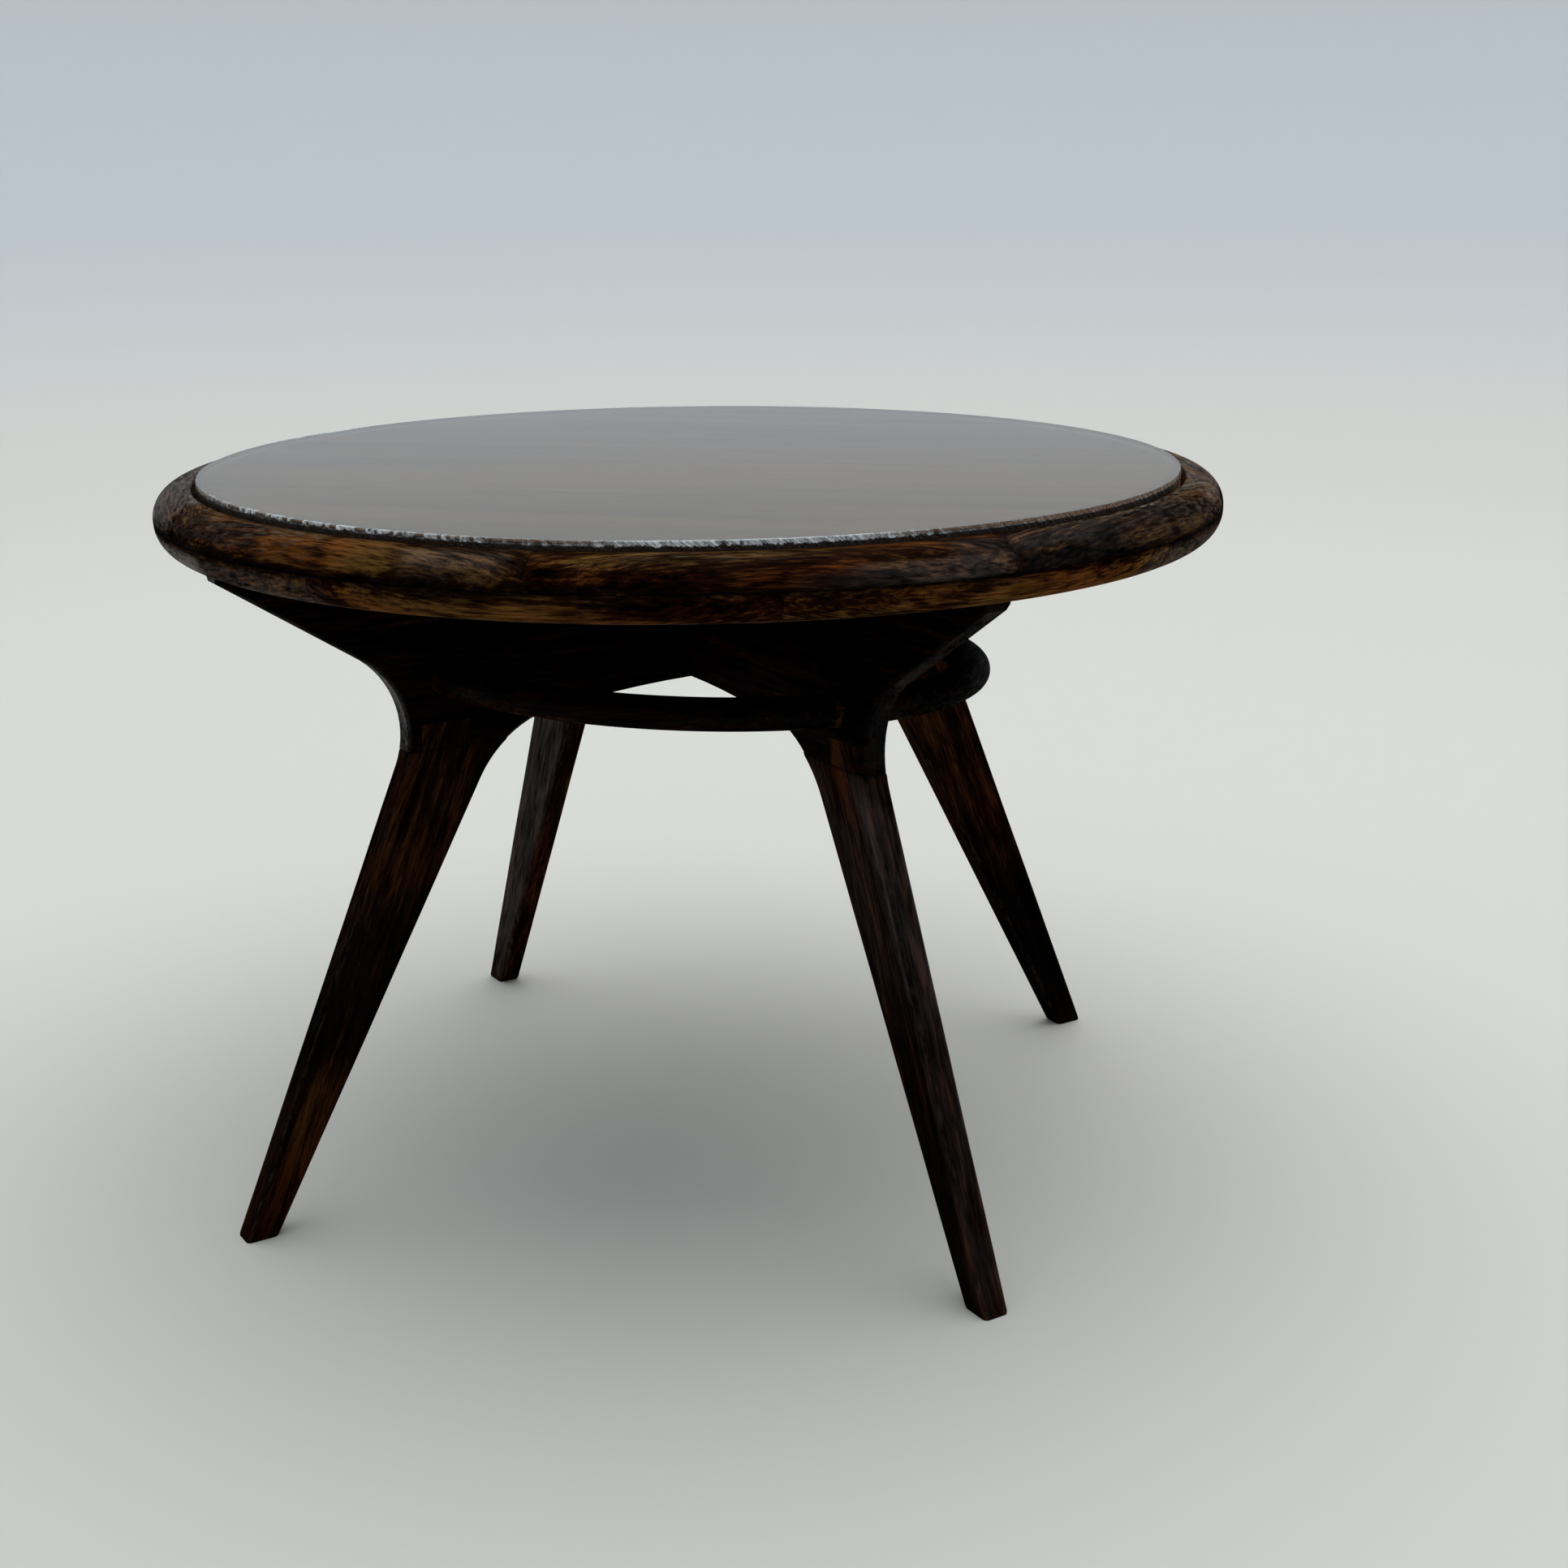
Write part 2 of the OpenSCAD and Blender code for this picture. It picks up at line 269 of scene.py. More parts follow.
class TableFinish(bpy.types.PropertyGroup):
    """Colours of the stain and of the clear disc."""

    rim_dark: shade("Rim dark", "Stain in the pores and at the seam", (0.0009, 0.0004, 0.0003))
    rim_mid: shade("Rim middle", "Walnut stain on the rim", (0.017, 0.0062, 0.0018))
    rim_light: shade("Rim light", "Ochre streaks in the rim", (0.14, 0.067, 0.016))
    # Grey of wear on the rim's arrises, ledge and flecks, which is also a painted sheen there
    rim_worn_and_sheen: shade("Rim worn", "Greyed wood on worn edges", (0.18, 0.15, 0.12))
    leg_dark: shade("Leg dark", "Darkest stain on legs, rails and ring", (0.0004, 0.0002, 0.00015))
    leg_mid: shade("Leg middle", "Reddish stain on legs, rails and ring", (0.0072, 0.0022, 0.0009))
    leg_light: shade("Leg light", "Ochre streaks in legs, rails and ring", (0.05, 0.0175, 0.0048))
    leg_worn: shade("Leg worn", "Greyed wood on worn arrises", (0.05, 0.039, 0.03))
    panel_mid: shade("Panel middle", "Brown of the panel", (0.055, 0.026, 0.011))
    panel_light: shade("Panel light", "Figure of the panel", (0.115, 0.056, 0.023))
    clear_tint: shade("Clear tint", "Tint of the clear disc", (0.93, 0.95, 0.95))
    edge_tint: shade("Edge tint", "Shade low on the disc's front edge", (0.006, 0.006, 0.007))
    sawn_tint: shade("Sawn tint", "Frosted white of the disc's sawn edge", (0.8, 0.84, 0.86))


class TableStage(bpy.types.PropertyGroup):
    """Floor, backdrop, light and camera."""

    floor_tint: shade("Floor", "Pale floor", (0.7, 0.665, 0.595))
    wall_tint: shade("Wall", "Pale blue-grey backdrop", (0.55, 0.57, 0.61))
    upper_tint: shade("Upper wall", "Backdrop above the table", (0.545, 0.562, 0.562))
    near_tint: shade("Near wall", "Backdrop behind the camera", (0.3, 0.3, 0.31))
    sky_tint: shade("Sky", "Colour of the light from all round", (0.72, 0.875, 1.0))
    sky_strength: amount("Sky strength", "Strength of the light from all round", 0.96)
    lamp_tint: shade("Lamp", "Colour of the soft lamp overhead", (1.0, 0.94, 0.86))
    lamp_power: amount("Lamp power", "Watts of the soft lamp overhead", 4.7)
    lamp_size: length("Lamp size", "Side of the soft lamp overhead", 1.1)
    sweep_start: length("Sweep start", "Axis to where the floor starts to rise", 0.42)
    sweep_radius: length("Sweep radius", "Radius of the curve from floor to wall", 0.22)
    wall_height: length("Wall height", "Floor to the top of the backdrop", 0.62)
    lens: amount("Lens", "Focal length in millimetres on a 36 mm sensor", 50.37)
    turn: bearing("Turn", "Camera round the table", math.radians(12.6))
    pitch: bearing("Pitch", "Camera looks down by this", 0.2801)
    roll: bearing("Roll", "Camera tilts by this", -0.0073)
    eye: FloatVectorProperty(
        name="Eye", description="Place of the camera", default=(0.04818, -0.18068, 0.08559),
        size=3, subtype="TRANSLATION", unit="LENGTH"
    )


class Value:
    """A shader socket on which Python's operators add Math nodes."""

    def __init__(self, shader, socket):
        self.shader, self.socket = shader, socket

    def math(self, operation, first, second):
        return self.shader.node("ShaderNodeMath", {"operation": operation}, {0: first, 1: second})

    def __add__(self, other):
        return self.math("ADD", self, other)

    def __radd__(self, other):
        return self.math("ADD", other, self)

    def __sub__(self, other):
        return self.math("SUBTRACT", self, other)

    def __rsub__(self, other):
        return self.math("SUBTRACT", other, self)

    def __mul__(self, other):
        return self.math("MULTIPLY", self, other)

    def __rmul__(self, other):
        return self.math("MULTIPLY", other, self)


class Shader:
    """A material in the making: node() adds any node and links or sets its sockets."""

    def __init__(self, name):
        self.material = bpy.data.materials.new(name)
        self.material.use_nodes = True
        self.tree = self.material.node_tree
        self.tree.nodes.clear()

    def node(self, kind, settings=None, sockets=None, out=0):
        """Adds a node: its settings first, a ramp's stops among them, then its sockets."""
        made = self.tree.nodes.new(kind)
        for key, value in (settings or {}).items():
            if key == "stops":
                ramp = made.color_ramp.elements
                for _ in value[2:]:
                    ramp.new(1.0)
                for stop, (place, tint) in zip(ramp, value):
                    stop.position, stop.color = place, (*tint, 1.0)
            else:
                setattr(made, key, value)
        for key, value in (sockets or {}).items():
            if isinstance(value, Value):
                self.tree.links.new(value.socket, made.inputs[key])
            else:
                made.inputs[key].default_value = value
        return Value(self, made.outputs[out])

    def noise(self, vector, scale, detail, rough, bend=0.0):
        """Smooth noise, on a vector that is first multiplied by a scale for each axis."""
        place = self.node("ShaderNodeVectorMath", {"operation": "MULTIPLY"}, {0: vector, 1: scale})
        return self.node(
            "ShaderNodeTexNoise", {},
            {"Vector": place, "Scale": 1.0, "Detail": detail, "Roughness": rough,
             "Distortion": bend},
        )

    def rise(self, value, start, end, to=1.0):
        """Smooth step from 0 at start to a height at end."""
        return self.node(
            "ShaderNodeMapRange", {"interpolation_type": "SMOOTHSTEP"},
            {"Value": value, "From Min": start, "From Max": end, "To Min": 0.0, "To Max": to},
        )

    def blend(self, share, first, second, how="MIX"):
        """Colour from first to second."""
        pair = {6: first if isinstance(first, Value) else (*first, 1.0),
                7: second if isinstance(second, Value) else (*second, 1.0)}
        return self.node(
            "ShaderNodeMix", {"data_type": "RGBA", "blend_type": how}, {0: share, **pair}, out=2
        )

    def finish(self, surface):
        """Links a surface to the material's output."""
        output = self.tree.nodes.new("ShaderNodeOutputMaterial")
        self.tree.links.new(surface.socket, output.inputs["Surface"])
        return self.material


def piece_grain(shader):
    """Wood coordinates in millimetres that a new piece carries: along the grain, then across."""
    return shader.node("ShaderNodeAttribute", {"attribute_name": "grain"}, out="Vector")


def piece_mask(shader, name):
    """A number from 0 to 1 that a new piece carries."""
    return shader.node("ShaderNodeAttribute", {"attribute_name": name}, out="Fac")


def frame_grain(shader, turn, shift=(0.0, 0.0, 0.0)):
    """Wood coordinates of a frame node: its place in millimetres, turned to its grain."""
    place = shader.node("ShaderNodeTexCoord", out="Object")
    return shader.node(
        "ShaderNodeMapping", {"vector_type": "POINT"},
        {"Vector": place, "Location": shift, "Rotation": (0.0, 0.0, -turn),
         "Scale": (1 / MM, 1 / MM, 1 / MM)},
    )


def edge_faces(shader, turn, half):
    """One on the narrow faces of a rail and zero on its broad faces, which lie half out."""
    place = frame_grain(shader, turn)
    across = shader.node("ShaderNodeSeparateXYZ", {}, {0: place}, out="Y")
    out = shader.node("ShaderNodeMath", {"operation": "ABSOLUTE"}, {0: across})
    return 1.0 - shader.rise(out, half - 0.3, half - 0.05)


def stained_wood(
    name, tints, grain_of, satin_of, lift=0.0, masks=True, fleck=0.75, worn_and_sheen_share=0.35
):
    """Dark stained wood: short fibres and pores along the grain, long streaks, blots and redder
    places in the stain, grime at joints with painted shade in the rim's seam and recess, worn edges
    that on the rim also stand for a painted sheen, under a wax that is satin in places."""
    shader = Shader(name)
    dark, mid, light, worn = tints
    grain = grain_of(shader)

    def noise(word):
        return shader.noise(grain, *WOOD_NOISE[word])

    streak, fibre, mottle = noise("streak"), noise("fibre"), noise("mottle")
    pore = shader.rise(noise("pore"), 0.55, 0.68)
    blot = shader.rise(noise("blot"), 0.46, 0.68)
    red = shader.rise(noise("red"), 0.38, 0.58, 0.7)
    level = mottle * 0.45 + streak * (1.75 - fleck) + fibre * fleck + (lift - 0.6)
    if masks:
        level = level + piece_mask(shader, "tone")
        red = red + piece_mask(shader, "red")
    tint = shader.node(
        "ShaderNodeValToRGB", {"stops": list(zip(WOOD_STOPS, (dark, mid, light)))}, {0: level}
    )
    tint = shader.blend(red, tint, RED_TINT, "MULTIPLY")
    tint = shader.blend(blot * 0.5, tint, dark)
    tint = shader.blend(pore * 0.7, tint, dark)
    rough = 0.4 + fibre * 0.2 + pore * 0.2
    wax = shader.rise(mottle, 0.35, 0.6, 0.5) + shader.rise(fibre, 0.35, 0.62, 0.5)
    if masks:
        fray = noise("fray")
        # Grey on worn arrises and flecks: wear, and on the rim also a painted sheen
        wear_and_sheen = piece_mask(shader, "edge") * shader.rise(fray, 0.45, 0.66)
        # The darkening mask: grime at joints, and painted shade at the rim's seam and recess
        dirt = piece_mask(shader, "dirt") * shader.rise(fray, 0.22, 0.5, 0.97)
        tint = shader.blend(wear_and_sheen * worn_and_sheen_share, tint, worn)
        tint = shader.blend(dirt, tint, dark)
    height = fibre * 0.55 - pore * 0.8 + streak * 0.3
    bump = {"Strength": 0.5, "Distance": 0.05 * MM, "Height": height}
    if not masks:
        bump["Normal"] = shader.node("ShaderNodeBevel", {"samples": 6}, {"Radius": 0.3 * MM})
    normal = shader.node("ShaderNodeBump", {}, bump)
    surface = shader.node(
        "ShaderNodeBsdfPrincipled", {},
        {"Base Color": tint, "Roughness": rough, "Normal": normal,
         "Coat Weight": wax * satin_of(shader), "IOR": 1.48, "Specular IOR Level": 0.0,
         "Coat Roughness": 0.3, "Coat IOR": 1.45},
    )
    return shader.finish(surface)


def piece_satin(shader):
    """Satin of a new piece: a trace all over and more in places."""
    return piece_mask(shader, "satin") + 0.03


def panel_brown(finish):
    """Brown of the panel under the clear disc: broad figure and short fibres, left to right."""
    shader = Shader("panel_wood")
    grain = frame_grain(shader, 0.0)
    figure = shader.noise(grain, (0.015, 0.22, 0.22), 4.0, 0.55, 0.6)
    fibre = shader.noise(grain, (0.25, 3.5, 3.5), 2.0, 0.5)
    share = shader.rise(figure * 0.7 + fibre * 0.3, 0.35, 0.65)
    tint = shader.blend(share, finish.panel_mid, finish.panel_light)
    return shader.finish(shader.node(
        "ShaderNodeBsdfPrincipled", {},
        {"Base Color": tint, "Roughness": 0.6, "Specular IOR Level": 0.1},
    ))


def unit(vectors):
    """Vectors of length one."""
    return vectors / np.linalg.norm(vectors, axis=-1, keepdims=True)


def waves(angle, seed, count=9):
    """Smooth wander from -1 to 1: a sum of sines whose lengths are whole parts of a turn and
    whose starts are drawn from a seed, with longer waves higher."""
    draw = np.random.RandomState(seed)
    order = np.arange(1, count + 1)
    start = draw.uniform(0, 2 * np.pi, count)
    height = draw.uniform(0.5, 1, count) / order ** 0.6
    return (np.sin(np.multiply.outer(angle, order) + start) * height).sum(-1) / height.sum()


def round_outline(corners, radii, arc_steps, side_step):
    """Closed outline with rounded corners, and how much each point lies on a small arris.

    Each corner is cut back along both sides by its radius over the tangent of half its angle,
    and an arc about the meeting point of the offset sides joins the cuts. The sides are then
    divided so that no step along the outline is longer than side_step."""
    corners = np.asarray(corners, float)
    radii = np.asarray(radii, float)[:, None]
    back = unit(np.roll(corners, 1, 0) - corners)
    onward = unit(np.roll(corners, -1, 0) - corners)
    half = np.arccos((back * onward).sum(1, keepdims=True)) / 2
    centre = corners + unit(back + onward) * radii / np.sin(half)
    first = back * radii / np.tan(half) + corners - centre
    last = onward * radii / np.tan(half) + corners - centre
    start = np.arctan2(first[:, 1], first[:, 0])
    sweep = np.arctan2(last[:, 1], last[:, 0]) - start
    sweep = (sweep + np.pi) % (2 * np.pi) - np.pi
    angle = start[:, None] + sweep[:, None] * np.linspace(0, 1, arc_steps)
    arcs = centre[:, None] + radii[:, None] * np.stack([np.cos(angle), np.sin(angle)], -1)
    mask = np.sin(np.linspace(0, np.pi, arc_steps)) * (radii < WORN_ROUND)
    points, mask = arcs.reshape(-1, 2), mask.reshape(-1)
    loop = np.vstack([points, points[:1]])
    along = np.concatenate([[0], np.cumsum(np.linalg.norm(np.diff(loop, axis=0), axis=1))])
    places = np.union1d(along[:-1], np.arange(0, along[-1] - side_step / 4, side_step))
    places = places[np.append(True, np.diff(places) > SAME_PLACE)]
    outline = np.stack([np.interp(places, along, loop[:, axis]) for axis in (0, 1)], -1)
    return outline, np.interp(places, along, np.append(mask, mask[0]))


def box_section(arc_steps, side_steps):
    """Rounded rectangle in shares, and how much each point lies on an arris.

    Each point is a share of the half width, of the radius, of the half thickness and of the
    radius again, so that whole rows of sections come from one product. The four corners have
    arcs, and the sides between them are divided evenly."""
    quarter = np.arange(4) * np.pi / 2
    angle = quarter[:, None] + np.linspace(0, np.pi / 2, arc_steps)
    sign_x = np.sign(np.cos(quarter + np.pi / 4))[:, None] + 0 * angle
    sign_y = np.sign(np.sin(quarter + np.pi / 4))[:, None] + 0 * angle
    arcs = np.stack([sign_x, np.cos(angle) - sign_x, sign_y, np.sin(angle) - sign_y], -1)
    share = np.linspace(0, 1, side_steps + 2)[1:-1, None]
    sides = arcs[:, -1:] * (1 - share) + np.roll(arcs[:, :1], -1, 0) * share
    edge = np.concatenate([np.sin(np.linspace(0, np.pi, arc_steps)), np.zeros(side_steps)])
    return np.concatenate([arcs, sides], 1).reshape(-1, 4), np.tile(edge, 4)


def quads_between(count, around):
    """Four-sided faces over a row of rings: each point, the next one round, and the same two on
    the next ring."""
    row = np.arange(count - 1)[:, None] * around
    here = np.arange(around)[None]
    after = (here + 1) % around
    quads = [row + here, row + after, row + around + after, row + around + here]
    return np.stack(quads, -1).reshape(-1, 4)


def closing(distance, reach):
    """How far a section closes in near its end: a square that fades out over a reach."""
    return END_CLOSE * np.clip(1 - distance / reach, 0, 1) ** 2


def band(rings, layers):
    """Closed skin over a row of rings: four-sided faces from ring to ring, and at both ends a
    fan on the middle of the ring. Returns points, faces and the layers with the middles added."""
    count, around = rings.shape[:2]
    here = np.arange(around)
    after = (here + 1) % around
    top = (count - 1) * around
    middle = count * around
    fans = np.concatenate([
        np.stack([0 * here + middle, after, here], -1),
        np.stack([0 * here + middle + 1, top + here, top + after], -1),
    ])

    def with_middles(layer):
        ends = layer[[0, -1]].mean(1)
        return np.concatenate([layer.reshape(-1, *layer.shape[2:]), ends])

    points = with_middles(rings)
    faces = [quads_between(count, around), fans]
    corner = points[faces[1]], points[faces[0]]
    volume = sum(
        (c[:, 0] * np.cross(c[:, i], c[:, i + 1])).sum()
        for c in corner for i in range(1, c.shape[1] - 1)
    )
    if volume < 0:
        faces = [f[:, ::-1] for f in faces]
    return points, faces, {name: with_middles(layer) for name, layer in layers.items()}


def new_piece(name, skins, material, smooth=True):
    """Mesh object at the origin from one or more skins, with their layers as attributes."""
    points = np.concatenate([skin[0] for skin in skins])
    starts = np.cumsum([0] + [len(skin[0]) for skin in skins])
    faces = [f + start for skin, start in zip(skins, starts) for f in skin[1]]
    mesh = bpy.data.meshes.new(name)
    mesh.from_pydata(points, [], [corner for f in faces for corner in f.tolist()])
    for layer in skins[0][2]:
        data = np.concatenate([skin[2][layer] for skin in skins]).astype(np.float32)
        kind, key = ("FLOAT_VECTOR", "vector") if data.ndim == 2 else ("FLOAT", "value")
        mesh.attributes.new(layer, kind, "POINT").data.foreach_set(key, data.ravel())
    if smooth:
        mesh.shade_smooth()
        mesh.set_sharp_from_angle(angle=math.radians(50))
    if mesh.validate():
        raise RuntimeError(name + " has faces that are not valid")
    made = bpy.data.objects.new(name, mesh)
    made.data.materials.append(material)
    bpy.context.scene.collection.objects.link(made)
    return made


def seat(made, node, body):
    """Puts a new piece in the place of a frame node."""
    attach(made, body)
    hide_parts(node)


def turned(angle):
    """Unit vectors outwards and sideways at an angle about the axis."""
    out = np.stack([np.cos(angle), np.sin(angle), 0 * angle], -1)
    side = np.stack([-np.sin(angle), np.cos(angle), 0 * angle], -1)
    return out, side


def wood_place(points, along, across, seed):
    """Wood coordinates in millimetres: along the grain, across it and up, moved by a seeded
    step so that each piece shows its own figure."""
    shift = np.random.RandomState(seed).uniform(-400, 400, 3)
    up = np.cross(along, across)
    return np.stack([points @ along, points @ across, points @ up], -1) / MM + shift


def between(value, start, end, soft):
    """One from start to end and zero outside, with soft slopes inside both ends."""
    return np.clip((value - start) / soft, 0, 1) * np.clip((end - value) / soft, 0, 1)


def rim_segment(sizes, start, where, seed, tone, steps=150):
    """One rim segment: a rounded section carried round an arc.

    The section runs from the seam, out to the rim's edge, over a quarter round and in along a
    ledge to the recess. It strays inwards by the sanding wave, and closes in a little at both
    ends, which shows the joints. Two segments meet but for the open share of the glue line."""
    outer, inner = sizes.rim_radius, sizes.rim_radius - sizes.rim_width
    layer, arris = sizes.layer, sizes.seam_round
    outline, edge = round_outline(
        [(inner, 0), (outer, 0), (outer, layer), (inner, layer)],
        [HIDDEN_ROUND, arris, layer - arris - LEAST_FLAT, sizes.ledge_round],
        arc_steps=14, side_step=0.22 * MM,
    )
    gap = OPEN_SHARE * sizes.glue_line / outer
    sweep = 2 * math.pi / SEGMENTS
    share = np.linspace(0, 1, steps)
    share = share - END_BUNCH * np.sin(2 * np.pi * share)
    angle = start + gap / 2 + (sweep - gap) * share
    from_end = np.minimum(share, 1 - share) * sweep * outer
    close = closing(from_end, RIM_END)
    section = outline + close[:, None, None] * unit(outline.mean(0) - outline)
    reach = (outline[:, 0] - inner) / (outer - inner)
    stray = sizes.rim_wave * (waves(angle, RIM_WAVE_SEEDS[where], count=24) - 1) / 2
    out = section[..., 0] + stray[:, None] * reach
    lift = section[..., 1] + 0.4 * stray[:, None] * (outline[:, 1] / layer)
    radial, _ = turned(angle)
    rings = out[..., None] * radial[:, None]
    rings[..., 2] = sizes.seam + (lift if where == "upper" else -lift)
    along, across = np.array(turned(np.array(start + sweep / 2)))[::-1]
    degrees = (np.degrees(angle)[:, None] + 180) % 360 - 180
    height = outline[None, :, 1] / layer
    tones = np.full(rings.shape[:2], tone)
    satin, flecks_and_sheen, red = np.zeros((3, *tones.shape))
    soft_turn, soft_height = RIM_SOFT
    # Patch tones: stain, and in front also painted shade by the seam and painted floor light low
    # down
    for first, last, below, above, *shares in RIM_PATCHES[where]:
        patch = between(degrees, first, last, soft_turn)
        patch = patch * between(height, below, above + soft_height, soft_height)
        for mask, part in zip((tones, satin, flecks_and_sheen, red), shares):
            mask += part * patch
    front = between(degrees, *RIM_FRONT)
    high_side = outline[:, 1] > layer / 2
    ledge = between(outline[:, 0], inner - MM, inner + LEDGE_WIDTH, LEDGE_SOFT) * high_side
    # Grime at the seam's glue line, with painted shade in the crease between the two rounds
    seam_dirt_and_shade = 0.9 * np.exp(-(outline[:, 1] / SEAM_DIRT_AND_SHADE[where]) ** 2)
    # Painted shade in the recess under the disc's edge: full at the front, half elsewhere
    painted_recess_shade = np.exp(-((outline[:, 0] - inner) / RECESS_SHADE) ** 2) * np.maximum(front, 0.5)
    joint_dirt = 0.8 * np.exp(-from_end / RIM_DIRT)[:, None]
    layers = {
        "grain": wood_place(rings, along, across, seed),
        # Grey on the outer arrises, on the ledge off the front and on flecks: wear with a painted
        # sheen
        "edge": np.maximum(np.maximum(0.6 * edge * high_side, 0.8 * ledge * (1 - front)), flecks_and_sheen),
        "dirt": np.maximum(np.maximum(seam_dirt_and_shade, painted_recess_shade), joint_dirt),
        "tone": tones,
        "satin": satin,
        "red": red,
    }
    return band(rings, layers)


def leg_outline(sizes, heights):
    """Inner and outer edge of a leg at each height, and its waist, as distances from the axis.

    Outside, a straight line from the toe runs into the fillet that is tangent to it and to the
    arm. Inside, a straight line from the heel runs into the fillet that is tangent to it and
    lies inside the rail's arch."""
    toe, heel = np.array([sizes.toe, 0]), np.array([sizes.toe - sizes.foot_width, 0])
    knee = np.array([sizes.knee_out, sizes.knee_high])
    arm = unit(np.array([sizes.arm_out, sizes.arm_high]) - knee)
    leg = unit(toe - knee)
    half = np.arccos(arm @ leg) / 2
    knee_centre = knee + unit(arm + leg) * sizes.knee_fillet / np.sin(half)
    knee_low = (knee + leg * sizes.knee_fillet / np.tan(half))[1]
    straight = toe[0] + (knee[0] - toe[0]) * heights / knee[1]
    rise = np.clip(heights - knee_centre[1], -sizes.knee_fillet, sizes.knee_fillet)
    curved = knee_centre[0] - np.sqrt(sizes.knee_fillet ** 2 - rise ** 2)
    outer = np.where(heights > knee_low, curved, straight)

    at_shoulder = toe[0] + (knee[0] - toe[0]) * sizes.shoulder / knee[1] - sizes.leg_width
    inside = unit(np.array([at_shoulder, sizes.shoulder]) - heel)
    normal = np.array([-inside[1], inside[0]])
    start = heel + normal * sizes.crotch_fillet
    from_arch = start - np.array([0, sizes.crown - sizes.arch_radius])
    reach = -from_arch @ inside + np.sqrt(
        (from_arch @ inside) ** 2 - from_arch @ from_arch
        + (sizes.arch_radius - sizes.crotch_fillet) ** 2
    )
    centre = start + inside * reach
    crotch_low = (centre - normal * sizes.crotch_fillet)[1]
    straight = heel[0] + inside[0] / inside[1] * heights
    rise = np.clip(heights - centre[1], -sizes.crotch_fillet, sizes.crotch_fillet)
    curved = centre[0] + np.sqrt(sizes.crotch_fillet ** 2 - rise ** 2)
    inner = np.where(heights > crotch_low, curved, straight)
    return inner, outer, knee_centre[0] - sizes.knee_fillet


def upright(sizes, turn, inner, outer, heights, radius, close):
    """Rings of a rounded rectangle stood on each height between an inner and an outer edge."""
    shares, edge = box_section(9, 7)
    wide = ((outer - inner) / 2 - close)[:, None]
    thick = (sizes.stock / 2 - close)[:, None]
    x = shares[:, 0] * wide + shares[:, 1] * radius[:, None] + ((outer + inner) / 2)[:, None]
    y = shares[:, 2] * thick + shares[:, 3] * radius[:, None]
    out, side = turned(np.array(turn))
    rings = x[..., None] * out + y[..., None] * side
    rings[..., 2] = heights[:, None]
    return rings, edge


def leg_skins(sizes, turn, seed, patches, steps=170):
    """A leg and its tongue: rounded rectangles stacked from the floor to the shoulder, whose
    edges follow the leg's outline and stray inwards by the shaping wave, with the tongue on top,
    which fills its notch but for the open share of the glue line."""
    heights = sizes.shoulder * np.linspace(0, 1, steps)
    inner, outer, waist = leg_outline(sizes, heights)
    lean = heights / sizes.shoulder * LEG_WANDER
    wave = sizes.leg_wave
    inner = inner + wave * (1 + waves(lean, seed)) / 2
    outer = outer - wave * (1 + waves(lean, seed + 1)) / 2
    ends = np.minimum(heights, sizes.shoulder - heights)
    close = closing(ends, LEG_END)
    radius = sizes.leg_round * (0.85 + 0.15 * waves(lean, seed + 2))
    rings, edge = upright(sizes, turn, inner, outer, heights, radius, close)
    out, side = turned(np.array(turn))
    lean_out = unit(np.array([sizes.knee_out - sizes.toe, sizes.knee_high]))
    along = out * lean_out[0] + np.array([0, 0, lean_out[1]])
    joint = np.exp(-(sizes.shoulder - heights) / LEG_DIRT)

    def layers_of(points, edge, dirt):
        shape = points.shape[:2]
        high = points[..., 2] / sizes.shoulder
        near, far, _ = leg_outline(sizes, np.minimum(points[..., 2], sizes.shoulder))
        wide = (points @ out - near) / (far - near)
        deep = points @ side / (sizes.stock / 2)
        tones, satin = np.zeros(shape), np.zeros(shape)
        soft_high, soft_wide, soft_deep = LEG_SOFT
        for first, last, inwards, outwards, left, right, lift, wax in patches:
            patch = between(high, first - soft_high, last + soft_high, 2 * soft_high)
            patch = patch * between(wide, inwards - soft_wide, outwards + soft_wide, soft_wide)
            patch = patch * between(deep, left - soft_deep, right + soft_deep, soft_deep)
            tones, satin = tones + lift * patch, satin + wax * patch
        return {
            "grain": wood_place(points, along, side, seed),
            "edge": np.broadcast_to(edge, shape),
            "dirt": np.broadcast_to(dirt[:, None], shape),
            "tone": tones,
            "satin": satin,
        }

    leg = band(rings, layers_of(rings, edge, joint))
    glue = (1 - OPEN_SHARE) * sizes.glue_line
    tongue_out = waist - sizes.outer_shoulder + glue
    tongue_in = tongue_out - sizes.tongue_width - 2 * glue
    top = sizes.shoulder + (sizes.tongue_height + glue) * np.array([0, 0.04, 0.5, 0.94, 1])
    flat = np.ones(len(top))
    rings, edge = upright(
        sizes, turn, flat * tongue_in, flat * tongue_out, top, flat * TONGUE_ROUND, 0 * flat,
    )
    tongue = band(rings, layers_of(rings, 0 * edge, 0 * flat))
    return [leg, tongue]


